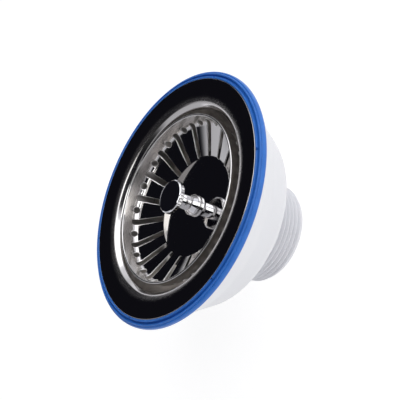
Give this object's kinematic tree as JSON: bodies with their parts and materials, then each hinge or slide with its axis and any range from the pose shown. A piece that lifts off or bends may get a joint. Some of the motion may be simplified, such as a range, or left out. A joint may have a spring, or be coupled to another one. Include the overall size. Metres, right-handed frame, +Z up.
{
  "type": "sink basket drain",
  "caption": "Round steel sink drain with a lift-out strainer basket, a blue gasket and a white plastic body with a threaded outlet.",
  "frame": {"origin": "centre of the outlet's end, which the drain stands on", "axes": "+Z up along the drain's axis, from the outlet to the flange"},
  "size_m": [0.122, 0.122, 0.0612],
  "materials": {
    "flange_steel": "mirror polished stainless steel, satin inside the bowl",
    "basket_steel": "polished stainless steel",
    "plate_steel": "plain stainless steel",
    "knob_chrome": "mirror chrome",
    "brass": "turned brass",
    "gasket_rubber": "smooth blue rubber with a soft sheen",
    "seal_rubber": "matte grey rubber",
    "stopper_rubber": "matte black rubber",
    "nylon": "plain nylon",
    "white_plastic": "white moulded plastic, matte"
  },
  "bodies": {
    "drain": {"flange_bowl": "flange_steel", "flange_seal": "seal_rubber", "body_gasket": "gasket_rubber", "waste_body": "white_plastic", "fixing_bolt": "brass", "bolt_washer": "seal_rubber", "captive_nut": "brass"},
    "catch": {"stem_ring": "nylon"},
    "basket": {"strainer_basket": "basket_steel", "knob": "knob_chrome", "knob_post": "knob_chrome", "stopper_plate": "plate_steel", "stopper_seal": "stopper_rubber", "stem": "brass", "stem_screw": "plate_steel"}
  },
  "joints": [
    {"name": "basket_lift", "type": "slide", "parent": "drain", "child": "catch", "axis": [0, 0, 1], "range_m": [-0.007, 0.045]},
    {"name": "basket_turn", "type": "hinge", "parent": "catch", "child": "basket", "pos_m": [0, 0, 0.0235], "axis": [0, 0, 1], "continuous": true}
  ]
}
